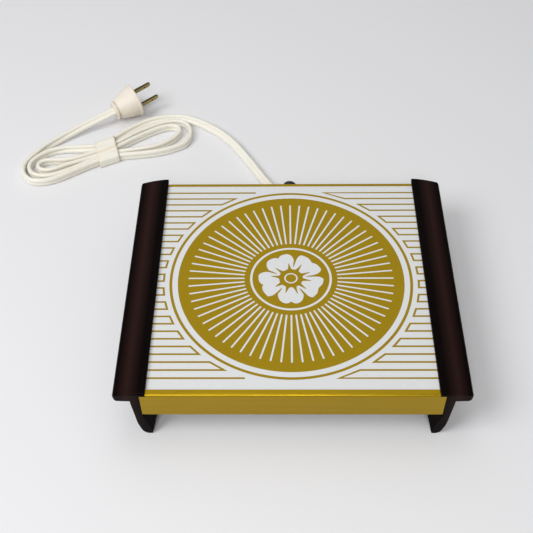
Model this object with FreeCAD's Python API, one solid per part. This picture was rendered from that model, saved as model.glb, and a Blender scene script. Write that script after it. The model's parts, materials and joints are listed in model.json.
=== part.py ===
"""Electric warming tray: a printed glass plate in a gold metal frame between two dark phenolic ends.

Millimetres, +Z up. The origin is on the table under the middle of the body, +X to the right, +Y to the
back, where the cord leaves. One STEP file per sub-part is written to parts/.
"""

import FreeCAD, Part
import math
import os

from FreeCAD import Rotation, Vector

# Driving dimensions of the body
FRONT, REAR = 89.6, 88.5    # distances of the two apron faces from the origin
PLATE_TOP = 41.0            # serving surface above the table
PLATE_THICK = 4.0
PLATE_HALF_X = 89.0
APRON_HEIGHT = 20.7         # below the plate's top
SHEET = 1.0                 # gauge of the gold rails
LEDGE, REAR_LEDGE = 4.3, 1.7    # how far each rail's top reaches in over the plate
BEND, REAR_BEND = 1.4, 0.4  # outer radii of the rails' top bends
FOOT_BEND = 1.4             # outer radius of their lower bends
FLANGE = 10.0               # inward return at the foot of each rail
PAN_GAUGE = 0.8

# End mouldings, as distances from the middle
LIP_X = 86.6                # inner edge of the handle slab
SLAB_X = 106.3              # outer edge of the handle slab
SLAB_FRONT, SLAB_REAR = 89.9, 91.8
NOSE, TAIL_NOSE = 1.6, 0.5  # roundings of the slab's top at its front and rear ends
SLAB_TOP = 43.6
WALL_IN = 90.4
WALL_OUT = 96.0
FOOT_IN, FOOT_TIP = 81.2, 86.2   # the foot's inner face leans from its top to its tip
FOOT_STEP = 19.4            # top of the thick part of the foot
SHELF_X = 86.5              # inner edge of the shelf that carries the plate
DRIVER_GROOVE = 8.0         # half-round grooves in the feet clear the screwdriver

# Heater stack under the plate, each layer's thickness from the top down
SPREADER = 1.0
MICA = 0.4
RIBBON = 0.4
CARD = 0.5
BLANKET = 6.3
PRESS = 0.8
STACK_HALF = 74.0
WINDOW = (-36.0, 36.0, 30.0, 75.0)   # notch through blanket and pressure plate for the thermostat
TERMINALS = [(-4.0, 41.5), (4.0, 41.5)]

# Thermostat, a blade stack along X
STAT_X, STAT_Y = -20.0, 49.0
BLADE_REACH = 31.0
BLADE_WIDTH = 7.0

# Cord and plug
WIRE = 1.8                  # sleeved lead inside the tray
CORD = 5.4                  # round tube with the same section area as the flat two-wire cord
EXIT_Z = 30.0
SLEEVE = 8.0                # the strain relief's tapered part behind its flange
HANK_TALL = 7.0             # the flat cord stands on edge where it is folded
PLUG_FRONT = Vector(-127.1, 218.9, 14.3)
PLUG_HEADING, PLUG_TILT, PLUG_ROLL = 34.0, 8.2, 27.6
PLUG_LENGTH = 20.5
BLADE_GAP = 12.7
BLADE_LENGTH = 17.5

APRON_FOOT = PLATE_TOP - APRON_HEIGHT
PLATE_FOOT = PLATE_TOP - PLATE_THICK
SCREW_ENDS = [(sx * 81.0, sy * 58.0) for sx in (-1, 1) for sy in (-1, 1)]
SCREW_RAILS = [(x, sy * 83.0) for x in (-62.0, 0.0, 62.0) for sy in (-1, 1)]

os.makedirs("parts", exist_ok=True)


def save(name, shape):
    """Writes one sub-part, after checking that it is sound."""
    if not shape.isValid() or shape.Volume <= 0:
        raise ValueError(f"{name} is not a valid solid")
    shape.exportStep(f"parts/{name}.step")
    print(f"{name:28s} solids {len(shape.Solids)}  volume {shape.Volume:10.1f}")


def box(x0, x1, y0, y1, z0, z1):
    return Part.makeBox(x1 - x0, y1 - y0, z1 - z0, Vector(x0, y0, z0))


def rod(x, y, z0, z1, diameter):
    return Part.makeCylinder(diameter / 2, z1 - z0, Vector(x, y, z0))


def fused(shapes):
    shape = shapes[0].multiFuse(shapes[1:]) if len(shapes) > 1 else shapes[0]
    return shape.removeSplitter()


def mirrored(shape):
    """The same piece for the other end."""
    return shape.mirror(Vector(0, 0, 0), Vector(1, 0, 0))


def outline(points):
    """A closed wire of lines; a point given as (end, middle) is reached by an arc through its middle."""
    edges, here = [], points[0]
    for step in points[1:] + points[:1]:
        if isinstance(step[0], Vector):
            edges.append(Part.Arc(here, step[1], step[0]).toShape())
            here = step[0]
        elif here.distanceToPoint(step) > 1e-6:
            edges.append(Part.LineSegment(here, step).toShape())
            here = step
    return Part.Wire(edges)


def section(points, y0, y1):
    """An XZ outline run along Y from y0 to y1."""
    def at(p):
        return Vector(p[0], y0, p[1])
    steps = [(at(p[0]), at(p[1])) if isinstance(p[0], tuple) else at(p) for p in points]
    return Part.Face(outline(steps)).extrude(Vector(0, y1 - y0, 0))


# ---------------------------------------------------------------- plate, rails and ends

def top_plate():
    gap = SHEET + 0.3
    plate = box(-PLATE_HALF_X, PLATE_HALF_X, -FRONT + gap, REAR - gap, PLATE_FOOT, PLATE_TOP)
    rim = [e for e in plate.Edges if abs(e.CenterOfMass.z - PLATE_TOP) < 1e-6]
    return plate.makeFillet(0.6, rim)


def rail(front):
    """Apron with a lip over the plate and a return flange at its foot, modelled at the front."""
    lip, face, bend = (LEDGE, -FRONT, BEND) if front else (REAR_LEDGE, -REAR, REAR_BEND)
    top = PLATE_TOP + SHEET - 0.2
    half = WALL_IN - 0.2
    nip = 1 - math.sqrt(0.5)
    profile = [(face + lip, PLATE_TOP), (face + SHEET, PLATE_TOP), (face + SHEET, APRON_FOOT + SHEET),
               (face + FLANGE, APRON_FOOT + SHEET), (face + FLANGE, APRON_FOOT),
               (face + FOOT_BEND, APRON_FOOT),
               ((face, APRON_FOOT + FOOT_BEND), (face + nip * FOOT_BEND, APRON_FOOT + nip * FOOT_BEND)),
               (face, top - bend), ((face + bend, top), (face + nip * bend, top - nip * bend)),
               (face + lip, top)]
    steps = [tuple(Vector(-half, a, b) for a, b in p) if isinstance(p[0], tuple) else Vector(-half, *p)
             for p in profile]
    shape = Part.Face(outline(steps)).extrude(Vector(2 * half, 0, 0))
    for x, y in SCREW_RAILS:
        shape = shape.cut(rod(x, -abs(y), APRON_FOOT - 1, APRON_FOOT + 2, 2.6))
    for x0, x1 in ((-WALL_IN, -LIP_X), (LIP_X, WALL_IN)):
        shape = shape.cut(box(x0, x1, face - 1, face + lip + 1, PLATE_TOP, top + 1))
    if front:
        return shape
    shape = shape.mirror(Vector(0, 0, 0), Vector(0, 1, 0))
    return shape.cut(Part.makeCylinder(5.2, 6, Vector(0, REAR - 3, EXIT_Z), Vector(0, 1, 0)))


def foot_bevel():
    """What is cut off the front inner corner of the right foot, along a slanting plane."""
    corner = Vector(WALL_IN, -FRONT - 0.2, FOOT_STEP)
    down, back = Vector(-4.4, 0, -16.4), Vector(-8.4, 5.3, 0)
    block = Part.makeBox(40, 40, 40, Vector(-20, -20, 0))
    block.Placement = FreeCAD.Placement(corner, Rotation(Vector(0, 0, 1), back.cross(down)))
    return block.common(box(FOOT_IN - 2, WALL_IN, -FRONT - 2, 12 - FRONT, -1, FOOT_STEP + 0.01))


def end_moulding():
    """Right end in one moulding: handle slab, closing wall, plate shelf, foot and two screw bosses."""
    top = SLAB_TOP
    slab = section([(LIP_X, top - 0.6), ((LIP_X + 0.9, top), (LIP_X + 0.25, top - 0.2)),
                    ((SLAB_X - 2.4, top - 1.9), (96.0, top - 0.5)),
                    ((SLAB_X, top - 4.2), (SLAB_X - 0.7, top - 2.7)), (SLAB_X - 0.1, top - 4.8),
                    ((SLAB_X - 2.6, top - 7.0), (SLAB_X - 0.8, top - 6.3)),
                    (WALL_IN, top - 7.8), (WALL_IN, PLATE_TOP), (LIP_X, PLATE_TOP)],
                   -SLAB_FRONT, SLAB_REAR)
    reach, side = SLAB_X + 0.2, LIP_X - 1
    plan = outline([Vector(side, -SLAB_FRONT, 20), Vector(reach - 3.0, -SLAB_FRONT, 20),
                    (Vector(reach, 3.6 - SLAB_FRONT, 20), Vector(reach - 0.8, 1.0 - SLAB_FRONT, 20)),
                    Vector(reach, SLAB_REAR - 3.8, 20),
                    (Vector(reach - 1.8, SLAB_REAR - 1.9, 20), Vector(reach - 0.6, SLAB_REAR - 2.5, 20)),
                    Vector(side, SLAB_REAR, 20)])
    slab = slab.common(Part.Face(plan).extrude(Vector(0, 0, 30)))
    nip, tail_nip = (r * (1 - math.sqrt(0.5)) for r in (NOSE, TAIL_NOSE))
    ends = outline([Vector(side, -SLAB_FRONT, 20), Vector(side, -SLAB_FRONT, top - NOSE),
                    (Vector(side, NOSE - SLAB_FRONT, top), Vector(side, nip - SLAB_FRONT, top - nip)),
                    Vector(side, SLAB_REAR - TAIL_NOSE, top),
                    (Vector(side, SLAB_REAR, top - TAIL_NOSE),
                     Vector(side, SLAB_REAR - tail_nip, top - tail_nip)),
                    Vector(side, SLAB_REAR, 20)])
    slab = slab.common(Part.Face(ends).extrude(Vector(30, 0, 0)))
    wall = section([(WALL_IN, top - 5), (WALL_IN, FOOT_STEP), (FOOT_IN, FOOT_STEP), (FOOT_TIP, 0),
                    (FOOT_TIP + 2.2, 0), ((92.3, 4.4), (90.9, 1.5)), ((94.6, 17.5), (93.9, 10.6)),
                    (WALL_OUT, top - 10), (WALL_OUT, top - 5)], -FRONT - 0.2, REAR + 0.2)
    wall = wall.cut(foot_bevel())
    wall = wall.cut(foot_bevel().mirror(Vector(0, (REAR - FRONT) / 2, 0), Vector(0, 1, 0)))
    gap = SHEET + 0.3
    shelf = section([(WALL_IN + 1, PLATE_FOOT), (SHELF_X, PLATE_FOOT), (SHELF_X, PLATE_FOOT - 1.5),
                     (WALL_IN, PLATE_FOOT - 4), (WALL_IN + 1, PLATE_FOOT - 4)], -FRONT + gap, REAR - gap)
    places = [(x, y) for x, y in SCREW_ENDS if x > 0]
    bosses = []
    for x, y in places:
        bosses += [rod(x, y, APRON_FOOT, 33, 8), box(x, WALL_IN + 1, y - 1.5, y + 1.5, APRON_FOOT, 31)]
    shape = fused([slab, wall, shelf] + bosses)
    for x, y in places:
        shape = shape.cut(rod(x, y, APRON_FOOT - 1, 31.0, 2.6))
        shape = shape.cut(rod(x, y, -1, APRON_FOOT, DRIVER_GROOVE))
    return shape


def bottom_pan():
    """Flat steel closing sheet with vent slots, a thermostat access hole and rolled ribs."""
    low, high = APRON_FOOT - PAN_GAUGE, APRON_FOOT
    pan = box(-89.6, 89.6, -86.5, 86.5, low, high)
    ribs = [box(-70, 70, y - 2.0, y + 2.0, low - 0.8, low) for y in (-66.0, 0.0)]
    pan = fused([pan] + ribs)
    holes = [box(x - 1.5, x + 1.5, y - 12, y + 12, low - 1, high + 1)
             for x in range(-60, 61, 10) for y in (-44, 24)]
    holes += [rod(x, y, low - 1, high + 1, 3.4) for x, y in SCREW_ENDS + SCREW_RAILS]
    holes += [rod(STAT_X + d, STAT_Y, low - 1, high + 1, 3.2) for d in (-7.0, 41.0)]
    holes.append(rod(STAT_X + 15, STAT_Y, low - 1, high + 1, 6.0))
    return pan.cut(Part.makeCompound(holes))


def screws(places, length, head_foot):
    """Pan-head screws driven upwards, as one group."""
    group = []
    for x, y in places:
        head = rod(x, y, head_foot, head_foot + 1.8, 6.0)
        low = [e for e in head.Edges if abs(e.CenterOfMass.z - head_foot) < 1e-6]
        head = head.makeFillet(0.8, low)
        slots = [box(x - 2.1, x + 2.1, y - 0.4, y + 0.4, head_foot - 1, head_foot + 0.9),
                 box(x - 0.4, x + 0.4, y - 2.1, y + 2.1, head_foot - 1, head_foot + 0.9)]
        shank = rod(x, y, head_foot + 1.8, head_foot + 1.8 + length, 2.5)
        group.append(head.cut(Part.makeCompound(slots)).fuse(shank).removeSplitter())
    return Part.makeCompound(group)


# ---------------------------------------------------------------- heater stack

def window(z0, z1):
    x0, x1, y0, y1 = WINDOW
    return box(x0, x1, y0, y1, z0, z1)


def layer(top, thick, half=STACK_HALF, cut=False):
    sheet = box(-half, half, -half, half, top - thick, top)
    return sheet.cut(window(top - thick - 1, top + 1)) if cut else sheet


def heater_ribbon(top):
    """Resistance ribbon laid to and fro over the card, ending in two tails over the window."""
    pitch, wide, reach = 8.0, 2.4, 62.0
    lanes = [pitch * (i - 7.5) for i in range(16)]
    strips = []
    for i, x in enumerate(lanes):
        stop = 44.0 if i in (7, 8) else reach
        strips.append(box(x - wide / 2, x + wide / 2, -reach, stop, top - RIBBON, top))
    turns = [(i, reach if i % 2 else -reach) for i in range(15) if i != 7]
    for i, y in turns:
        strips.append(box(lanes[i] - wide / 2, lanes[i + 1] + wide / 2, y - wide / 2, y + wide / 2,
                          top - RIBBON, top))
    strips += [box(x - wide / 2, x + wide / 2, reach, reach + 8, top - RIBBON, top)
               for x in (lanes[0], lanes[15])]
    strips.append(box(lanes[0] - wide / 2, lanes[15] + wide / 2, reach + 6, reach + 8, top - RIBBON, top))
    return drilled(fused(strips), top)


def drilled(shape, top):
    """Holes for the two terminal rivets."""
    return shape.cut(Part.makeCompound([rod(x, y, top - 3, top + 1, 1.6) for x, y in TERMINALS]))


def element_terminals(ribbon_top):
    """Two rivets through ribbon and card, with heads that the wires are welded to."""
    under = ribbon_top - RIBBON - CARD
    return Part.makeCompound([fused([rod(x, y, under, ribbon_top, 1.6), rod(x, y, under - 1.0, under, 4.0)])
                              for x, y in TERMINALS])


def pressure_springs(foot, top):
    """Four bowed leaf springs between the pan and the pressure plate."""
    group = []
    for x in (-52.0, 52.0):
        for y in (-16.0, 52.0):
            steps = [(x - 18, foot + 0.5), ((x + 18, foot + 0.5), (x, top)), (x + 18, foot),
                     ((x - 18, foot), (x, top - 0.5))]
            group.append(section(steps, y, y + 8))
    return Part.makeCompound(group)


# ---------------------------------------------------------------- thermostat

STACK = {"bracket": 24.5, "lower": 26.5, "fixed": 27.0, "middle": 29.3, "bimetal": 30.1, "upper": 31.9}


def bracket():
    """Steel bracket screwed to the pan: a long base, a raised seat for the stack and a screw tab."""
    x, y, z = STAT_X, STAT_Y, APRON_FOOT
    parts = [box(x - 12, x + 46, y - 6, y + 6, z, z + 1),
             box(x + 5, x + 6, y - 6, y + 6, z, STACK["bracket"]),
             box(x - 5, x + 6, y - 6, y + 6, STACK["bracket"] - 1, STACK["bracket"]),
             box(x + 20, x + 21, y - 6, y + 6, z, STACK["bracket"] - 1.5),
             box(x + 10.5, x + 21, y - 6, y + 6, STACK["bracket"] - 2.5, STACK["bracket"] - 1.5)]
    holes = [rod(x + d, y, z - 1, z + 2, 2.6) for d in (-7.0, 41.0)]
    holes += [rod(x, y, z + 2, STACK["bracket"] + 1, 3.0), rod(x + 15, y, z - 1, STACK["bracket"], 3.0)]
    return fused(parts).cut(Part.makeCompound(holes))


def spacers():
    spans = [(STACK["bracket"], STACK["lower"]), (STACK["fixed"], STACK["middle"]),
             (STACK["bimetal"], STACK["upper"])]
    return Part.makeCompound([rod(STAT_X, STAT_Y, a, b, 9.0).cut(rod(STAT_X, STAT_Y, a - 1, b + 1, 3.0))
                              for a, b in spans])


def blade(x0, x1, z0, z1, tab):
    """A flat contact blade with a hole for the rivet and a solder tab at its back end."""
    y = STAT_Y
    shape = fused([box(x0, x1, y - BLADE_WIDTH / 2, y + BLADE_WIDTH / 2, z0, z1),
                   box(x0 - tab, x0, y - 2, y + 2, z0, z1)])
    return shape.cut(rod(STAT_X, y, z0 - 1, z1 + 1, 3.0))


def free_blade(x0, x1, z0, z1):
    """The bimetal's free part; its root is rounded about the line that it turns on."""
    thick = z1 - z0
    shape = box(x0, x1, STAT_Y - BLADE_WIDTH / 2, STAT_Y + BLADE_WIDTH / 2, z0, z1)
    root = [e for e in shape.Edges
            if abs(e.CenterOfMass.x - x0) < 1e-6 and abs(e.tangentAt(e.FirstParameter).y) > 0.9]
    return shape.makeFillet(thick / 2 - 0.001, root)


def thermostat():
    """Every piece of the thermostat; only the free part of the bimetal and its contact move."""
    x, y = STAT_X, STAT_Y
    back, split, tip = x - 4.5, x + 5.0, x + BLADE_REACH
    low, high = STACK["middle"], STACK["bimetal"]
    screw = rod(x + 15, y, 20.9, STACK["lower"] - 0.1, 3.0)
    rivet = fused([rod(x, y, STACK["bracket"] - 2, STACK["bracket"] - 1, 5.0),
                   rod(x, y, STACK["bracket"] - 1, STACK["upper"], 3.0),
                   rod(x, y, STACK["upper"], STACK["upper"] + 0.9, 5.4)])
    return {
        "thermostat_bracket": bracket(),
        "thermostat_spacers": spacers(),
        "thermostat_rivet": rivet,
        "fixed_blade": blade(back, tip, STACK["lower"], STACK["fixed"], 8.0),
        "bimetal_anchor": blade(back, split, low, high, 8.0),
        "bimetal_blade": free_blade(split + 0.4, tip, low, high),
        "fixed_contact": rod(tip - 3, y, STACK["fixed"], STACK["fixed"] + 1.0, 3.6),
        "moving_contact": rod(tip - 3, y, low - 0.9, low, 3.6),
        "adjusting_screw": screw.cut(box(x + 13, x + 17, y - 0.3, y + 0.3, 20, 21.7)),
        "thermostat_screws": screws([(x - 7.0, y), (x + 41.0, y)], 3.2, APRON_FOOT - PAN_GAUGE - 1.8),
    }


# ---------------------------------------------------------------- round tubes: wires and cord

def bend_radii(points):
    """The radius of the arc at each inner point: 0.45 of the shorter run over tan(half the turn)."""
    radii = []
    for a, b, c in zip(points, points[1:], points[2:]):
        turn = (b - a).getAngle(c - b)
        radii.append(0.45 * min((b - a).Length, (c - b).Length) / math.tan(turn / 2))
    return radii


def tube(name, points, diameter):
    """A round tube along straight runs joined by tangent arcs."""
    edges, here = [], points[0]
    for a, b, c, radius in zip(points, points[1:], points[2:], bend_radii(points)):
        before, after = (b - a).normalize(), (c - b).normalize()
        turn = before.getAngle(after)
        reach = radius * math.tan(turn / 2)
        first, last = b - before * reach, b + after * reach
        middle = b + (after - before).normalize() * (radius / math.cos(turn / 2) - radius)
        edges += [Part.LineSegment(here, first).toShape(), Part.Arc(first, middle, last).toShape()]
        here = last
    edges.append(Part.LineSegment(here, points[-1]).toShape())
    path = Part.Wire(edges)
    disc = Part.Wire(Part.makeCircle(diameter / 2, points[0], points[1] - points[0]))
    shape = path.makePipeShell([disc], True, False)
    ideal = math.pi * diameter ** 2 / 4 * path.Length
    radii = " ".join(f"{r:.0f}" for r in bend_radii(points))
    print(f"{name}: length {path.Length:.1f}, volume {shape.Volume / ideal:.4f} of ideal, radii {radii}")
    return shape


def wires():
    """Glass-sleeved leads: cord to thermostat, thermostat to heater, and heater to cord."""
    tab, y, under = STAT_X - 11.5, STAT_Y, 32.8
    routes = {
        "wire_line": [(-2.4, 74.0, 30.0), (-6.0, 69.0, 29.6), (-14.0, 65.5, 28.8), (-24.0, 64.0, 28.2),
                      (tab - 1.0, 59.0, 28.0), (tab - 0.5, y + 3.5, 27.9), (tab, y, 27.9)],
        "wire_jumper": [(tab, y, 31.0), (tab, y - 5.0, 31.2), (tab + 4.0, y - 11.0, 31.6),
                        (-18.0, 36.0, 32.2), (-9.0, 37.5, 32.7), (-4.0, 41.5, under)],
        "wire_return": [(2.4, 74.0, 30.0), (6.0, 69.0, 29.8), (12.0, 64.5, 29.8), (18.0, 58.0, 30.2),
                        (18.5, 50.0, 31.0), (13.0, 43.5, 32.4), (4.0, 41.5, under)],
    }
    return {name: tube(name, [Vector(*p) for p in route], WIRE) for name, route in routes.items()}


def crimps():
    """Two crimped sleeves that join the cord's conductors to the glass-sleeved leads."""
    back = Vector(0, 1, 0)
    return Part.makeCompound([Part.makeCylinder(1.9, 6, Vector(x, 74, EXIT_Z), back) for x in (-2.4, 2.4)])


# ---------------------------------------------------------------- cord and plug

LEAD = [(0.0, 98.7, 30.0), (-0.5, 101.9, 28.2), (-1.9, 104.8, 23.0), (-4.0, 108.2, 17.0),
        (-7.4, 112.8, 10.6), (-11.6, 119.2, 5.8), (-17.1, 127.8, 3.7), (-25.3, 143.5, 3.4),
        (-34.3, 159.3, 3.4), (-43.8, 174.7, 3.4), (-54.5, 187.6, 3.4), (-67.0, 197.6, 3.4),
        (-80.0, 204.2, 3.4), (-92.0, 205.6, 3.4)]
TAIL = [(-202.6, 166.6, 3.4), (-196.7, 172.6, 3.4), (-189.4, 178.9, 3.6), (-179.6, 187.0, 4.6),
        (-169.0, 194.2, 6.2), (-159.2, 199.4, 8.2), (-150.6, 203.5, 10.1), (-143.7, 207.7, 11.4)]

# The hank: two lobes and a waist under the tie
LOBES = [(Vector(-190.0, 147.6, 0), 21.5), (Vector(-97.5, 183.6, 0), 21.0)]
LOBE_WALL = 8.5
WAIST = 10.8
TIE_WIDE, TIE_SHIFT = 17.0, -2.5


def hank_frame(shape):
    """Places a shape drawn along X about the origin on the line between the two lobes."""
    (a, _), (b, _) = LOBES
    shape.rotate(Vector(0, 0, 0), Vector(0, 0, 1), math.degrees(math.atan2(b.y - a.y, b.x - a.x)))
    shape.translate((a + b) / 2)
    return shape


def hank():
    """The folded cord as one dog-bone plate with its two lobes open."""
    (a, left), (b, right) = LOBES
    far, z = (b - a).Length / 2, 0.3
    steps = [Vector(-far, left, z), (Vector(far, right, z), Vector(0, WAIST, z)),
             (Vector(far, -right, z), Vector(far + right, 0, z)),
             (Vector(-far, -left, z), Vector(0, -WAIST, z)),
             (Vector(-far, left, z), Vector(-far - left, 0, z))]
    plate = Part.Face(outline(steps)).extrude(Vector(0, 0, HANK_TALL - z))
    for side, radius in ((-1, left), (1, right)):
        hole, x = radius - LOBE_WALL, side * far
        steps = [Vector(side * 16, 0, 0), Vector(x, hole, 0),
                 (Vector(x, -hole, 0), Vector(x + side * hole, 0, 0))]
        plate = plate.cut(Part.Face(outline(steps)).extrude(Vector(0, 0, 20)))
    return hank_frame(plate)


def tie():
    """A paper band round the middle of the hank."""
    def sleeve(grow, low, half):
        wide = WAIST + 1.4 + grow
        shape = box(TIE_SHIFT - half, TIE_SHIFT + half, -wide, wide, low, HANK_TALL + 0.6 + grow)
        edges = [e for e in shape.Edges if abs(e.tangentAt(e.FirstParameter).x) > 0.9]
        return shape.makeFillet(1.5 + grow, edges)
    return hank_frame(sleeve(0.6, 0.0, TIE_WIDE / 2).cut(sleeve(0.0, 0.25, TIE_WIDE)))


def plug_frame(shape):
    """Turns a plug drawn along +X with its blades spread in Y to where it lies."""
    turn = Rotation(Vector(0, 0, 1), PLUG_HEADING).multiply(Rotation(Vector(0, 1, 0), -PLUG_TILT))
    turn = turn.multiply(Rotation(Vector(1, 0, 0), PLUG_ROLL))
    shape.Placement = FreeCAD.Placement(PLUG_FRONT, turn).multiply(shape.Placement)
    return shape


def oval(x, half_y, half_z):
    """An ellipse standing across the plug's axis."""
    if half_y >= half_z:
        curve = Part.Ellipse(Vector(x, half_y, 0), Vector(x, 0, half_z), Vector(x, 0, 0))
    else:
        curve = Part.Ellipse(Vector(x, 0, half_z), Vector(x, half_y, 0), Vector(x, 0, 0))
    return Part.Wire(curve.toShape())


def plug_body():
    """A tapered body with a nearly round front flange and a thin collar behind a short neck."""
    flange = Part.Face(oval(-2.4, 13.9, 13.7)).extrude(Vector(2.4, 0, 0))
    flange = flange.makeFillet(0.8, [e for e in flange.Edges if len(e.Vertexes) == 1])
    rings = [oval(-PLUG_LENGTH + 3.0, 8.3, 8.0), oval(-10.5, 10.9, 10.5), oval(-2.4, 12.8, 12.5)]
    body = Part.makeLoft(rings, True)
    neck = Part.Face(oval(-PLUG_LENGTH + 1.0, 6.2, 6.0)).extrude(Vector(3.0, 0, 0))
    collar = Part.Face(oval(-PLUG_LENGTH, 7.7, 7.4)).extrude(Vector(1.9, 0, 0))
    collar = collar.makeFillet(0.6, [e for e in collar.Edges if len(e.Vertexes) == 1])
    return plug_frame(fused([flange, body, neck, collar]))


def plug_blades():
    """Two parallel flat blades with a hole near each tip."""
    group = []
    for side in (-1, 1):
        y = side * BLADE_GAP / 2
        flat = box(0, BLADE_LENGTH, y - 0.75, y + 0.75, -3.15, 3.15)
        tip = [e for e in flat.Edges if abs(e.CenterOfMass.x - BLADE_LENGTH) < 1e-6
               and abs(e.tangentAt(e.FirstParameter).y) > 0.9]
        flat = flat.makeChamfer(1.4, tip)
        hole = Part.makeCylinder(1.6, 4, Vector(BLADE_LENGTH - 5.0, y - 2, 0), Vector(0, 1, 0))
        group.append(flat.cut(hole))
    return plug_frame(Part.makeCompound(group))


def strain_relief():
    """Black snap-in bushing through the rear apron, with a tapered ribbed sleeve behind it."""
    steps = [(REAR - 4.0, REAR - SHEET, 12.0), (REAR - SHEET, REAR, 10.0), (REAR, REAR + 2.2, 14.0)]
    back = Vector(0, 1, 0)
    pieces = [Part.makeCylinder(d / 2, y1 - y0, Vector(0, y0, EXIT_Z), back) for y0, y1, d in steps]
    rim = [e for e in pieces[2].Edges if len(e.Vertexes) == 1 and e.CenterOfMass.y > REAR]
    pieces[2] = pieces[2].makeFillet(0.7, rim)
    pieces.append(Part.makeCone(5.9, 4.9, SLEEVE, Vector(0, REAR + 2.2, EXIT_Z), back))
    shape = fused(pieces)
    for i in range(3):
        y = REAR + 3.6 + 2.1 * i
        shape = shape.cut(Part.makeTorus(6.2 - 0.22 * i, 0.8, Vector(0, y, EXIT_Z), back))
    return shape


def main():
    save("top_plate", top_plate())
    save("front_rail", rail(True))
    save("rear_rail", rail(False))
    right = end_moulding()
    save("right_end_moulding", right)
    save("left_end_moulding", mirrored(right))
    save("bottom_pan", bottom_pan())
    head_foot = APRON_FOOT - PAN_GAUGE - 1.8
    save("rail_screws", screws(SCREW_RAILS, 4.5, head_foot))
    save("end_screws", screws(SCREW_ENDS, 11.0, head_foot))

    top = PLATE_FOOT
    save("heat_spreader", layer(top, SPREADER))
    top -= SPREADER
    save("upper_mica_sheet", layer(top, MICA))
    top -= MICA
    save("heater_ribbon", heater_ribbon(top))
    save("element_terminals", element_terminals(top))
    top -= RIBBON
    save("heater_card", drilled(layer(top, CARD), top))
    top -= CARD
    save("lower_mica_sheet", layer(top, MICA, cut=True))
    top -= MICA
    save("insulation_blanket", layer(top, BLANKET, cut=True))
    top -= BLANKET
    save("pressure_plate", layer(top, PRESS, cut=True))
    save("pressure_springs", pressure_springs(APRON_FOOT, top - PRESS))

    for name, shape in {**thermostat(), **wires()}.items():
        save(name, shape)
    save("crimp_sleeves", crimps())

    save("strain_relief", strain_relief())
    save("cord_stub", Part.makeCylinder(CORD / 2, 4.5, Vector(0, 80, EXIT_Z), Vector(0, 1, 0)))
    save("cord_lead", tube("cord_lead", [Vector(*p) for p in LEAD], CORD))
    save("cord_hank", hank())
    save("cord_tie", tie())
    save("cord_tail", tube("cord_tail", [Vector(*p) for p in TAIL], CORD))
    save("plug_body", plug_body())
    save("plug_blades", plug_blades())


main()
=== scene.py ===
import json
import math

import bmesh
import bpy
from mathutils import Matrix, Vector, noise


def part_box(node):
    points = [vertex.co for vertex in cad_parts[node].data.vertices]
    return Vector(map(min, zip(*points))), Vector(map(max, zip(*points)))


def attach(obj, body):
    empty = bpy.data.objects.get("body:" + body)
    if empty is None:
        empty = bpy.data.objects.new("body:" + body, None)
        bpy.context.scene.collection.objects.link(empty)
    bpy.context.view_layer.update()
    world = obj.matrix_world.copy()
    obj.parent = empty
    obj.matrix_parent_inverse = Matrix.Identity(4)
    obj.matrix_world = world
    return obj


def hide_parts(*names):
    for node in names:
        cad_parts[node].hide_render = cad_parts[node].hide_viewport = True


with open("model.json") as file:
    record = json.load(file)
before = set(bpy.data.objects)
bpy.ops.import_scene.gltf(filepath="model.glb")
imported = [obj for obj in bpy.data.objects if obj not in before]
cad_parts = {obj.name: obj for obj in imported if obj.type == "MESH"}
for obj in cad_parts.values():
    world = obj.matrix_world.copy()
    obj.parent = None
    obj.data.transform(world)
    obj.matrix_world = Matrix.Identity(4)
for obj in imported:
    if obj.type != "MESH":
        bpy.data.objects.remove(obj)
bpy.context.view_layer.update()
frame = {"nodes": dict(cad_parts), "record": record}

MM = 0.001

# ---------------------------------------------------------------- camera, lights and world

scene = bpy.context.scene
scene.view_settings.view_transform = "Standard"

cam_data = bpy.data.cameras.new("camera")
cam_data.sensor_width = 36.0
cam_data.lens = 60.91
cam_data.shift_x, cam_data.shift_y = -0.0009, 0.0009
cam_data.clip_start = 0.01
cam = bpy.data.objects.new("camera", cam_data)
scene.collection.objects.link(cam)
cam.matrix_world = (Matrix.Translation((-0.0070, -0.3781, 0.4892))
                    @ Matrix.Rotation(math.radians(1.277), 4, "Z")
                    @ Matrix.Rotation(math.radians(40.95), 4, "X")
                    @ Matrix.Rotation(math.radians(-1.083), 4, "Z"))
scene.camera = cam


def area_light(name, at, towards, size, power):
    data = bpy.data.lights.new(name, "AREA")
    data.shape = "DISK"
    data.size = size
    data.energy = power
    light = bpy.data.objects.new(name, data)
    scene.collection.objects.link(light)
    light.location = at
    light.rotation_euler = (Vector(towards) - Vector(at)).to_track_quat("-Z", "Y").to_euler()


area_light("key", (-0.92, -0.5, 1.25), (0, 0, 0), 0.9, 13.0)
area_light("front", (-0.1, -1.25, 1.4), (0, 0, 0.02), 0.6, 10.5)
area_light("back", (0.0, 1.15, 1.5), (0, 0, 0), 1.8, 4.4)
area_light("overhead", (-0.1, 0.35, 1.8), (-0.1, 0.35, 0), 0.8, 2.5)

world = bpy.data.worlds.new("studio")
scene.world = world
world.use_nodes = True
world.node_tree.nodes["Background"].inputs["Color"].default_value = (1.0, 1.0, 1.0, 1.0)
world.node_tree.nodes["Background"].inputs["Strength"].default_value = 0.26


# ---------------------------------------------------------------- materials

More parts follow.
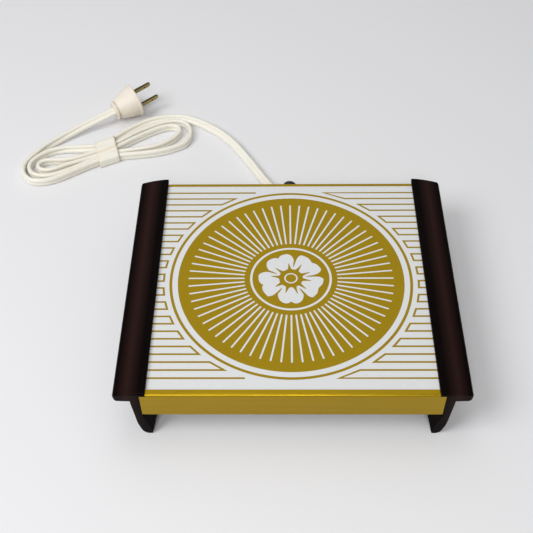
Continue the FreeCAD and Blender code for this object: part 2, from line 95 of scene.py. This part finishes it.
class Look:
    """A node material with its Principled shader, and short ways to wire noise into it."""

    def __init__(self, name, colour, rough, metallic=0.0, **sockets):
        self.mat = bpy.data.materials.new(name)
        self.mat.use_nodes = True
        self.tree = self.mat.node_tree
        self.shader = self.tree.nodes["Principled BSDF"]
        self.shader.inputs["Base Color"].default_value = (*colour, 1.0)
        self.shader.inputs["Roughness"].default_value = rough
        self.shader.inputs["Metallic"].default_value = metallic
        for key, value in sockets.items():
            self.shader.inputs[key.replace("_", " ")].default_value = value
        self.place = self.node("ShaderNodeTexCoord").outputs["Object"]

    def node(self, kind, **settings):
        made = self.tree.nodes.new(kind)
        for key, value in settings.items():
            setattr(made, key, value)
        return made

    def link(self, a, b):
        self.tree.links.new(a, b)

    def noise(self, scale, detail=3.0, stretch=(1, 1, 1), roughness=0.5):
        """Noise over the object; scale is features per metre."""
        mapping = self.node("ShaderNodeMapping")
        mapping.inputs["Scale"].default_value = stretch
        self.link(self.place, mapping.inputs["Vector"])
        made = self.node("ShaderNodeTexNoise")
        made.inputs["Scale"].default_value = scale
        made.inputs["Detail"].default_value = detail
        made.inputs["Roughness"].default_value = roughness
        self.link(mapping.outputs["Vector"], made.inputs["Vector"])
        return made.outputs["Fac"]

    def span(self, value, low, high, out_low=0.0, out_high=1.0):
        made = self.node("ShaderNodeMapRange")
        self.link(value, made.inputs["Value"])
        for key, number in (("From Min", low), ("From Max", high), ("To Min", out_low), ("To Max", out_high)):
            made.inputs[key].default_value = number
        return made.outputs["Result"]

    def tint(self, value, colour):
        """Mixes another colour into the base colour by value, on top of what is there."""
        made = self.node("ShaderNodeMix", data_type="RGBA")
        base = self.shader.inputs["Base Color"]
        if base.is_linked:
            self.link(base.links[0].from_socket, made.inputs[6])
        else:
            made.inputs[6].default_value = base.default_value
        made.inputs[7].default_value = (*colour, 1.0)
        self.link(value, made.inputs[0])
        self.link(made.outputs[2], base)
        return self

    def roughen(self, value, low, high):
        self.link(self.span(value, 0.3, 0.7, low, high), self.shader.inputs["Roughness"])
        return self

    def bump(self, value, depth, strength=1.0):
        """Adds relief; depth in metres."""
        made = self.node("ShaderNodeBump")
        made.inputs["Strength"].default_value = strength
        made.inputs["Distance"].default_value = depth
        normal = self.shader.inputs["Normal"]
        if normal.is_linked:
            self.link(normal.links[0].from_socket, made.inputs["Normal"])
        self.link(value, made.inputs["Height"])
        self.link(made.outputs["Normal"], normal)
        return self


def white_glass():
    look = Look("white_glass", (0.70, 0.705, 0.71), 0.22, IOR=1.5)
    look.tint(look.span(look.noise(9, 2), 0.4, 0.75, 0.0, 0.35), (0.675, 0.68, 0.68))
    look.roughen(look.noise(60, 4), 0.20, 0.30)
    return look.bump(look.noise(220, 2), 0.00002, 0.4).mat


def gold_ink():
    look = Look("gold_ink", (0.315, 0.205, 0.003), 0.42, Specular_IOR_Level=0.1)
    look.tint(look.span(look.noise(1400, 3), 0.35, 0.7, 0.0, 0.35), (0.37, 0.25, 0.006))
    look.tint(look.span(look.noise(30, 3), 0.45, 0.75, 0.0, 0.25), (0.265, 0.17, 0.002))
    look.roughen(look.noise(900, 2), 0.36, 0.5)
    return look.bump(look.noise(2600, 2), 0.00001, 0.5).mat


def gold_rail():
    look = Look("gold_rail", (0.415, 0.268, 0.012), 0.34, 1.0)
    grain = look.noise(1100, 3, (0.02, 1, 1))
    look.tint(look.span(grain, 0.4, 0.62, 0.0, 0.25), (0.34, 0.22, 0.009))
    look.tint(look.span(look.noise(22, 3), 0.5, 0.8, 0.0, 0.4), (0.35, 0.23, 0.018))
    look.roughen(look.noise(700, 3, (0.03, 1, 1)), 0.28, 0.42)
    return look.bump(grain, 0.00001, 0.35).mat


def painted_sheen_band(look):
    """How strongly the painted sheen lies on the crown of each handle, standing in for the lights'
    reflection: most along its middle, none near its edges.
    """
    middle = (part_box("right_end_moulding")[1].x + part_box("top_plate")[1].x) / 2
    parts = look.node("ShaderNodeSeparateXYZ")
    look.link(look.place, parts.inputs["Vector"])
    values = [parts.outputs["X"]]
    for operation, number in (("ABSOLUTE", 0.0), ("SUBTRACT", middle), ("ABSOLUTE", 0.0)):
        step = look.node("ShaderNodeMath", operation=operation)
        look.link(values[-1], step.inputs[0])
        step.inputs[1].default_value = number
        values.append(step.outputs[0])
    return look.span(values[-1], 0.0072, 0.0, 0.0, 0.9)


def phenolic():
    look = Look("dark_phenolic", (0.0010, 0.0006, 0.0005), 0.42, Specular_IOR_Level=0.04)
    look.shader.inputs["Specular Tint"].default_value = (1.0, 0.78, 0.74, 1.0)
    swirl = look.noise(55, 6, (1, 0.35, 1), 0.65)
    look.tint(look.span(swirl, 0.45, 0.75, 0.0, 0.5), (0.005, 0.0025, 0.0021))
    # painted sheen: a lighter reddish-brown band along the middle of each handle's crown
    look.tint(painted_sheen_band(look), (0.024, 0.0106, 0.0090))
    look.tint(look.span(look.noise(900, 2), 0.62, 0.75, 0.0, 0.25), (0.026, 0.016, 0.014))
    look.roughen(look.noise(140, 5), 0.30, 0.46)
    return look.bump(look.noise(420, 3), 0.00003, 0.35).mat


def plug_brass():
    """Tarnished brass, with the blades' narrow edges nearly black."""
    look = Look("plug_brass", (0.42, 0.31, 0.085), 0.34, 1.0)
    look.tint(look.span(look.noise(260, 3), 0.4, 0.7, 0.0, 0.3), (0.34, 0.25, 0.08))
    parts = look.node("ShaderNodeSeparateXYZ")
    look.link(look.node("ShaderNodeTexCoord").outputs["Normal"], parts.inputs["Vector"])
    look.tint(look.span(parts.outputs["Z"], 0.72, 0.84, 0.0, 0.9), (0.030, 0.028, 0.014))
    look.roughen(look.noise(300, 2), 0.30, 0.42)
    return look.bump(look.noise(900, 2), 0.00001, 0.2).mat


def plated_steel(name, colour, rough, grain):
    look = Look(name, colour, rough, 1.0)
    look.tint(look.span(look.noise(grain, 4), 0.4, 0.7, 0.0, 0.5), tuple(0.72 * c for c in colour))
    look.roughen(look.noise(grain * 3, 3), rough - 0.07, rough + 0.12)
    return look.bump(look.noise(grain * 6, 2), 0.00001, 0.4).mat


def vinyl(name, colour, warm, rough):
    look = Look(name, colour, rough, Subsurface_Weight=0.12, Subsurface_Scale=0.002)
    look.shader.inputs["Subsurface Radius"].default_value = (1.0, 0.75, 0.5)
    look.tint(look.span(look.noise(26, 3), 0.42, 0.72, 0.0, 0.55), warm)
    look.tint(look.span(look.noise(420, 4), 0.6, 0.8, 0.0, 0.22), tuple(0.62 * c for c in warm))
    look.roughen(look.noise(330, 3), rough - 0.06, rough + 0.1)
    return look.bump(look.noise(1500, 2), 0.00002, 0.35).mat


def plain(name, colour, rough, grain, metallic=0.0, depth=0.00003):
    look = Look(name, colour, rough, metallic)
    look.tint(look.span(look.noise(grain, 4), 0.35, 0.7, 0.0, 0.6), tuple(0.7 * c for c in colour))
    look.roughen(look.noise(grain * 2, 3), rough - 0.08, rough + 0.08)
    return look.bump(look.noise(grain * 3, 3), depth, 0.6).mat


GLASS, INK, RAIL, PHENOLIC = white_glass(), gold_ink(), gold_rail(), phenolic()
STEEL = plated_steel("zinc_steel", (0.50, 0.50, 0.48), 0.38, 90)
SCREW = plated_steel("plated_screw", (0.46, 0.45, 0.42), 0.32, 300)
ALUMINIUM = plated_steel("bright_aluminium", (0.72, 0.73, 0.74), 0.34, 120)
BRASS = plug_brass()
BRONZE = plated_steel("blade_bronze", (0.56, 0.36, 0.17), 0.34, 200)
SILVER = plated_steel("silver_contact", (0.78, 0.77, 0.75), 0.28, 500)
NICHROME = plated_steel("ribbon_alloy", (0.33, 0.31, 0.29), 0.45, 200)
MICA = plain("mica", (0.56, 0.47, 0.33), 0.30, 60)
BLANKET = plain("mineral_wool", (0.72, 0.69, 0.60), 0.95, 500, depth=0.0006)
CERAMIC = plain("steatite", (0.78, 0.75, 0.68), 0.25, 150)
BRAID = plain("glass_braid", (0.62, 0.58, 0.48), 0.75, 1500, depth=0.0001)
NYLON = plain("black_nylon", (0.005, 0.005, 0.0055), 0.35, 200)
CORD_VINYL = vinyl("cream_cord", (0.88, 0.855, 0.765), (0.85, 0.79, 0.66), 0.36)
PLUG_VINYL = vinyl("cream_plug", (0.85, 0.78, 0.68), (0.83, 0.74, 0.62), 0.42)
BAND = plain("paper_band", (0.80, 0.745, 0.61), 0.62, 300, depth=0.00004)

SLOT_LOOKS = {
    "printed_plate": GLASS, "gold_rail": RAIL, "dark_phenolic": PHENOLIC, "steel_sheet": STEEL,
    "bright_aluminium": ALUMINIUM, "mica": MICA, "ribbon_alloy": NICHROME, "blanket": BLANKET,
    "ceramic": CERAMIC, "blade_bronze": BRONZE, "silver_contact": SILVER, "plated_screw": SCREW,
    "glass_sleeve": BRAID, "black_bushing": NYLON, "cream_cord": CORD_VINYL, "paper_band": BAND,
    "cream_plug": PLUG_VINYL, "plug_brass": BRASS,
}
for part in frame["record"]["subparts"]:
    shown = frame["nodes"][part["node"]]
    for slot in shown.material_slots:
        slot.material = SLOT_LOOKS[part["material_slot"]]


# ---------------------------------------------------------------- floor

def floor():
    mesh = bpy.data.meshes.new("floor")
    shape = bmesh.new()
    bmesh.ops.create_grid(shape, x_segments=1, y_segments=1, size=6.0)
    shape.to_mesh(mesh)
    shape.free()
    made = bpy.data.objects.new("floor", mesh)
    scene.collection.objects.link(made)
    look = Look("studio_floor", (0.80, 0.80, 0.815), 0.85)
    mesh.materials.append(look.mat)


floor()


# ---------------------------------------------------------------- the print on the plate

PRINT_R = 78.0              # mean radius of the ring, mm
PRINT_AT = (0.0, 1.0)
LINE = 1.3                  # width of the ruled lines
LINE_PITCH = 5.81
LINE_FIRST = 79.1           # first line's distance behind the print's middle
LINE_STOP = 82.7            # radius on which the lines end
LINE_OUT = 88.3             # the lines run on under the mouldings
LINES, RAYS = 28, 64
INK_HALF, INK_LIFT = 0.012, 0.014    # half the ink's thickness, and its middle above the plate

# Radii as parts of PRINT_R: the ring's edges, the disc, the inner ring's edges and the flower's eye
RING = (1.0124, 0.9889)
DISC = 0.9425
INNER_RING = (0.341, 0.321)
EYE = (0.056, 0.044)
RAY_FROM, RAY_TO, RAY_WIDE = 0.386, 0.856, 0.0148

# Flower: gap, lobe, notch, notch radius, lobe, next gap, in degrees and parts of PRINT_R
PETALS = [(80, 97, 115.5, 0.243, 134, 157), (157, 174, 197, 0.241, 224, 235),
          (235, 259, 270, 0.250, 281, 303), (303, 312, 335, 0.251, 357, 368),
          (8, 22, 44, 0.247, 69, 80)]
STAR = [(96.0, 0.164), (58.5, 0.175), (22.5, 0.172), (-9.0, 0.171), (-42.5, 0.170), (-72.0, 0.174),
        (-106.0, 0.163), (-144.7, 0.158), (-188.0, 0.167), (-221.3, 0.170)]


def polar(angle, radius):
    turn = math.radians(angle)
    return (radius * PRINT_R * math.cos(turn), radius * PRINT_R * math.sin(turn))


def circle(radius, count=180):
    return [polar(360 * i / count, radius) for i in range(count)]


def smooth(points, per=6):
    """A closed Catmull-Rom curve through the points."""
    out, n = [], len(points)
    for i in range(n):
        a, b, c, d = (Vector(points[(i + k) % n]) for k in (-1, 0, 1, 2))
        for j in range(per):
            t = j / per
            out.append(tuple(0.5 * (2 * b + (c - a) * t + (2 * a - 5 * b + 4 * c - d) * t * t
                                    + (3 * b - a - 3 * c + d) * t ** 3)))
    return out


def stroke(points, width):
    """Outline of a line of even width through the points, with mitred corners."""
    points = [Vector(p) for p in points]
    sides = ([], [])
    for i, p in enumerate(points):
        before = (p - points[i - 1]).normalized() if i else None
        after = (points[i + 1] - p).normalized() if i < len(points) - 1 else None
        mean = ((before or after) + (after or before)).normalized()
        normal = Vector((-mean.y, mean.x))
        reach = width / 2 / max(0.3, mean.dot(after or before))
        sides[0].append(tuple(p + normal * reach))
        sides[1].append(tuple(p - normal * reach))
    return sides[0] + sides[1][::-1]


def ray(angle, inner, outer, width):
    """One radial bar with rounded ends."""
    points = []
    for radius, start in ((outer, -90), (inner, 90)):
        centre = radius * PRINT_R - (width / 2 if start < 0 else -width / 2)
        for i in range(7):
            turn = math.radians(start + 30 * i)
            points.append((centre + width / 2 * math.cos(turn), width / 2 * math.sin(turn)))
    c, s = math.cos(math.radians(angle)), math.sin(math.radians(angle))
    return [(x * c - y * s, x * s + y * c) for x, y in points]


def flower():
    """Five petals, each with a notch in its outer edge."""
    points = []
    for low, lobe_a, notch, notch_r, lobe_b, high in sorted(PETALS):
        side_a, side_b = lobe_a - low, high - lobe_b
        points += [(low, 0.124), (low + 1.6, 0.140), (low + 2.4, 0.170), (low + 3.0, 0.205),
                   (low + 0.42 * side_a, 0.240), (low + 0.70 * side_a, 0.262), (lobe_a, 0.272),
                   (lobe_a + 0.5 * (notch - lobe_a), 0.268), (lobe_a + 0.85 * (notch - lobe_a), 0.255),
                   (notch, notch_r), (lobe_b - 0.85 * (lobe_b - notch), 0.255),
                   (lobe_b - 0.5 * (lobe_b - notch), 0.268), (lobe_b, 0.272), (high - 0.70 * side_b, 0.262),
                   (high - 0.42 * side_b, 0.240), (high - 3.0, 0.205), (high - 2.4, 0.170),
                   (high - 1.6, 0.140)]
    return smooth([polar(a, r) for a, r in points])


def star():
    """Ten uneven points, two on each petal."""
    points = []
    for i, (angle, tip) in enumerate(STAR):
        ahead = STAR[(i + 1) % len(STAR)][0] - (360 if i == len(STAR) - 1 else 0)
        valley = (angle + ahead) / 2
        points += [(angle + 1.0, tip - 0.002), (angle, tip), (angle - 1.0, tip - 0.002), (angle - 3.2, 0.135),
                   (angle - 8.0, 0.104), (valley + 3.0, 0.097), (valley, 0.103), (valley - 3.0, 0.097),
                   (ahead + 8.0, 0.104), (ahead + 3.2, 0.135)]
    return [polar(a, r) for a, r in points]


def ruled_lines():
    """The ruled lines, joined in pairs beside the ring; on the left the first and last stand alone."""
    lines = [LINE_FIRST - LINE_PITCH * k for k in range(LINES)]

    def end(y):
        return math.sqrt(LINE_STOP ** 2 - y ** 2)

    shapes = []
    for side, first in ((-1, 1), (1, 0)):
        pairs = [(k, k + 1) for k in range(first, LINES - 1, 2)]
        for a, b in pairs:
            ya, yb = lines[a], lines[b]
            shapes.append(stroke([(side * LINE_OUT, ya), (side * end(ya), ya), (side * end(yb), yb),
                                  (side * LINE_OUT, yb)], LINE))
    for k in (0, LINES - 1):
        shapes.append(stroke([(-LINE_OUT, lines[k]), (-end(lines[k]), lines[k])], LINE))
    return shapes


def plate_print():
    """The gold print as one inked layer: what is white is left open in it."""
    loops = [circle(radius) for radius in (*RING, DISC, *INNER_RING)]
    loops += [flower(), star()]
    loops += [circle(radius, 64) for radius in EYE]
    loops += [ray(360 / RAYS * k, RAY_FROM, RAY_TO, RAY_WIDE * PRINT_R) for k in range(RAYS)]
    loops += ruled_lines()
    data = bpy.data.curves.new("plate_print", "CURVE")
    data.dimensions = "2D"
    data.fill_mode = "BOTH"
    data.extrude = INK_HALF * MM
    for loop in loops:
        spline = data.splines.new("POLY")
        spline.points.add(len(loop) - 1)
        for point, (x, y) in zip(spline.points, loop):
            point.co = (x * MM, y * MM, 0, 1)
        spline.use_cyclic_u = True
    drawn = bpy.data.objects.new("print_outline", data)
    mesh = bpy.data.meshes.new_from_object(drawn)
    mesh.name = "plate_print"
    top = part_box("top_plate")[1].z
    mesh.transform(Matrix.Translation((PRINT_AT[0] * MM, PRINT_AT[1] * MM, top + INK_LIFT * MM)))
    mesh.materials.clear()
    mesh.materials.append(INK)
    made = bpy.data.objects.new("plate_print", mesh)
    scene.collection.objects.link(made)
    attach(made, "tray")
    return made


plate_print()


# ---------------------------------------------------------------- the cord

# Route in millimetres from the bushing to the plug: x, y, z and, where the flat cord leans,
# its tilt in degrees.
LEAD = [(0.0, 98.7, 30.0, 90), (-0.5, 101.9, 28.2, 80), (-1.9, 104.8, 23.0, 60),
        (-4.0, 108.2, 17.0, 50), (-7.4, 112.8, 10.6, 45), (-11.6, 119.2, 5.8, 45),
        (-17.1, 127.8, 3.7, 45), (-25.3, 143.5, 3.2, 45), (-34.3, 159.3, 3.2, 45),
        (-43.8, 174.7, 3.2, 45), (-54.5, 187.6, 3.2, 42), (-67.0, 197.8, 3.2, 40),
        (-79.5, 205.2, 3.2, 38)]
STRAND_A = [(-89.8, 208.2, 3.2, 38), (-98.5, 208.0, 3.2, 38), (-108.5, 206.2, 3.2, 38),
            (-119.6, 201.2, 3.2, 38), (-130.7, 192.2, 3.2, 35), (-140.3, 182.6, 3.4, 25),
            (-147.9, 174.6, 3.4, 25)]
LEFT_INNER = [(-155.2, 170.8, 3.3, 35), (-169.0, 170.0, 3.3, 35), (-180.5, 169.8, 3.4, 20),
              (-191.4, 166.8), (-198.8, 161.2), (-203.8, 155.0), (-205.6, 148.8), (-203.8, 142.2),
              (-199.0, 138.2), (-192.0, 136.6), (-183.4, 138.6), (-174.0, 143.2), (-163.9, 149.8),
              (-153.4, 157.2), (-144.8, 161.8)]
RIGHT_INNER = [(-136.9, 164.6), (-126.5, 167.0), (-114.7, 169.4), (-105.2, 172.2), (-96.6, 178.0),
               (-90.6, 184.6), (-88.4, 190.6), (-91.0, 195.4), (-96.6, 197.0), (-104.0, 194.9),
               (-113.0, 189.8), (-124.5, 181.8), (-134.0, 174.0), (-139.8, 168.9), (-146.6, 164.6)]
LEFT_SMALL = [(-154.6, 159.6), (-163.0, 155.4), (-171.0, 152.0), (-179.0, 148.2), (-185.6, 144.4),
              (-192.0, 143.2), (-197.2, 145.0), (-198.8, 149.8), (-195.6, 154.4), (-188.4, 155.6),
              (-180.0, 155.2), (-172.0, 156.8), (-163.6, 160.2), (-155.6, 164.2), (-147.8, 168.6)]
RIGHT_OUTER = [(-139.4, 175.2), (-132.4, 181.6), (-123.5, 188.8), (-116.0, 193.6), (-109.0, 197.8),
               (-101.6, 201.2), (-94.0, 202.6), (-86.8, 201.2), (-82.0, 196.4), (-79.8, 189.2),
               (-80.2, 182.0), (-83.4, 175.4), (-90.0, 171.0), (-99.5, 166.8), (-110.0, 164.0),
               (-122.0, 162.4), (-134.5, 161.0), (-142.9, 158.8)]
LEFT_OUTER = [(-150.7, 154.6), (-157.5, 150.8), (-166.0, 145.2), (-174.9, 139.2), (-183.0, 134.2),
              (-191.2, 131.4), (-199.0, 131.4), (-204.8, 134.8), (-208.4, 139.8), (-210.0, 145.6),
              (-209.4, 152.4), (-206.4, 159.2), (-201.6, 165.6)]
TAIL = [(-196.7, 172.6, 3.4, -12), (-189.4, 178.9, 3.6, -28), (-179.6, 187.0, 4.6, -42),
        (-169.0, 194.2, 6.2, -50), (-159.2, 199.4, 8.2, -55), (-150.6, 203.5, 10.1, -57),
        (-143.7, 207.7, 11.4, -57)]
CORD_WIDE, CORD_THICK = 6.8, 3.6
FLAT_Z = 3.4                # height of the folded strands where no other is given


def cord_section():
    """Two round conductors' jackets joined by a web: the flat cord's outline as a closed curve."""
    data = bpy.data.curves.new("cord_section", "CURVE")
    data.dimensions = "2D"
    radius = CORD_THICK / 2
    offset = CORD_WIDE / 2 - radius
    points = []
    for side in (1, -1):
        for i in range(9):
            turn = math.radians(-150 + 300 * i / 8)
            points.append((side * radius * math.sin(turn), side * (offset + radius * math.cos(turn))))
    spline = data.splines.new("POLY")
    spline.points.add(len(points) - 1)
    for point, (x, y) in zip(spline.points, points):
        point.co = (x * MM, y * MM, 0, 1)
    spline.use_cyclic_u = True
    return bpy.data.objects.new("cord_section", data)


def cord():
    route = LEAD + STRAND_A + LEFT_INNER + RIGHT_INNER + LEFT_SMALL + RIGHT_OUTER + LEFT_OUTER + TAIL
    data = bpy.data.curves.new("cord", "CURVE")
    data.dimensions = "3D"
    data.twist_mode = "Z_UP"
    data.bevel_mode = "OBJECT"
    data.bevel_object = cord_section()
    data.use_fill_caps = True
    spline = data.splines.new("NURBS")
    spline.points.add(len(route) - 1)
    for point, place in zip(spline.points, route):
        x, y, z, lean = (*place, FLAT_Z, 0) if len(place) == 2 else place
        point.co = (x * MM, y * MM, z * MM, 1)
        point.tilt = math.radians(lean)
    spline.order_u = 3
    spline.use_endpoint_u = True
    spline.resolution_u = 6
    data.materials.append(CORD_VINYL)
    made = bpy.data.objects.new("cord", data)
    scene.collection.objects.link(made)
    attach(made, "tray")
    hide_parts("cord_lead", "cord_hank", "cord_tail")
    return made


# ---------------------------------------------------------------- the paper band round the folded cord

BAND_AT = Vector((-145.6, 165.4, 0.0))
BAND_ALONG, BAND_ACROSS = math.radians(29.0), math.radians(17.0)
BAND_LONG = 16.6
BAND_HALF, BAND_Z, BAND_TALL = 11.6, 3.75, 3.6    # half its width, its middle's height and half its height
BAND_PAPER = 0.42
CORNER, ROUND = 6.7, 0.34   # exponents that make the wrap nearly square with soft corners
LAP_AT = -1.2
FLAP = 0.8                  # how far the overlapping end stands proud


def band():
    """A strip wrapped round the strands, its end lapped over on top, with slight waves."""
    around, along = 144, 14
    top_points = around // 2
    shape = bmesh.new()
    age = shape.verts.layers.float_color.new("age")
    rings = []
    for layer in (0.0, BAND_PAPER):
        for i in range(along + 1):
            u = BAND_LONG * (i / along - 0.5)
            half = BAND_HALF + 0.04 * u + layer
            ring = []
            for k in range(around):
                side = 1 if k < top_points else -1
                w = side * math.cos(math.pi * (k % top_points) / top_points)
                n = half * w
                s = side * math.sqrt(max(0.0, 1.0 - abs(w) ** CORNER))
                z = BAND_Z + (BAND_TALL + layer) * math.copysign(abs(s) ** ROUND, s)
                lap = LAP_AT + 0.06 * u
                over = min(1.0, max(0.0, (n - lap) / 0.35)) if s > 0 else (1.0 if n > 8 else 0.0)
                if layer:
                    z += FLAP * over * (1 if s > 0 else 0)
                    z += 0.10 * math.sin(0.9 * n + 0.3 * u) * (1 if s > 0 else 0)
                wave = noise.noise(Vector((u * 0.16, n * 0.14, z * 0.14)))
                fray = 0.35 * noise.noise(Vector((n * 0.2, z * 0.2, i // along))) * (2 * i / along - 1)
                place = Vector((u + fray,
                                n * (1 + 0.010 * wave), max(0.06, z + 0.16 * wave)))
                vert = shape.verts.new(place * MM)
                edge = max(0.0, abs(2 * i / along - 1) - 0.72) / 0.28
                near_lap = math.exp(-((n - lap) / 0.9) ** 2) if s > 0 else 0.0
                far_edge = math.exp(-((n - half) / 1.8) ** 2) if s > -0.2 else 0.0
                amount = min(1.0, 0.35 * edge + 0.75 * near_lap + 0.8 * far_edge)
                vert[age] = (amount, amount, amount, 1.0)
                ring.append(vert)
            rings.append(ring)
    inner, outer = rings[:along + 1], rings[along + 1:]

    def skin(a, b, flip):
        for k in range(around):
            quad = (a[k], a[(k + 1) % around], b[(k + 1) % around], b[k])
            shape.faces.new(quad[::-1] if flip else quad)

    for rows, flip in ((inner, False), (outer, True)):
        for a, b in zip(rows, rows[1:]):
            skin(a, b, flip)
    skin(inner[0], outer[0], True)
    skin(inner[-1], outer[-1], False)
    bmesh.ops.recalc_face_normals(shape, faces=shape.faces)
    mesh = bpy.data.meshes.new("cord_band")
    shape.to_mesh(mesh)
    shape.free()
    mesh.shade_smooth()
    skew = Matrix.Identity(4)
    skew.col[0][:2] = (math.cos(BAND_ALONG), math.sin(BAND_ALONG))
    skew.col[1][:2] = (-math.sin(BAND_ACROSS), math.cos(BAND_ACROSS))
    mesh.transform(Matrix.Translation(BAND_AT * MM) @ skew)
    look = Look("aged_band", (0.90, 0.87, 0.77), 0.55)
    age_value = look.node("ShaderNodeAttribute", attribute_name="age").outputs["Fac"]
    look.tint(look.span(age_value, 0.0, 1.0, 0.0, 0.6), (0.76, 0.60, 0.34))
    fibres = look.noise(420, 4, (1, 1, 1))
    look.tint(look.span(fibres, 0.5, 0.8, 0.0, 0.25), (0.70, 0.62, 0.46))
    look.roughen(look.noise(500, 3), 0.48, 0.62)
    look.bump(fibres, 0.00005, 0.5)
    mesh.materials.append(look.mat)
    made = bpy.data.objects.new("cord_band", mesh)
    scene.collection.objects.link(made)
    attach(made, "tray")
    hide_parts("cord_tie")
    return made


flex = cord()
wrap = band()
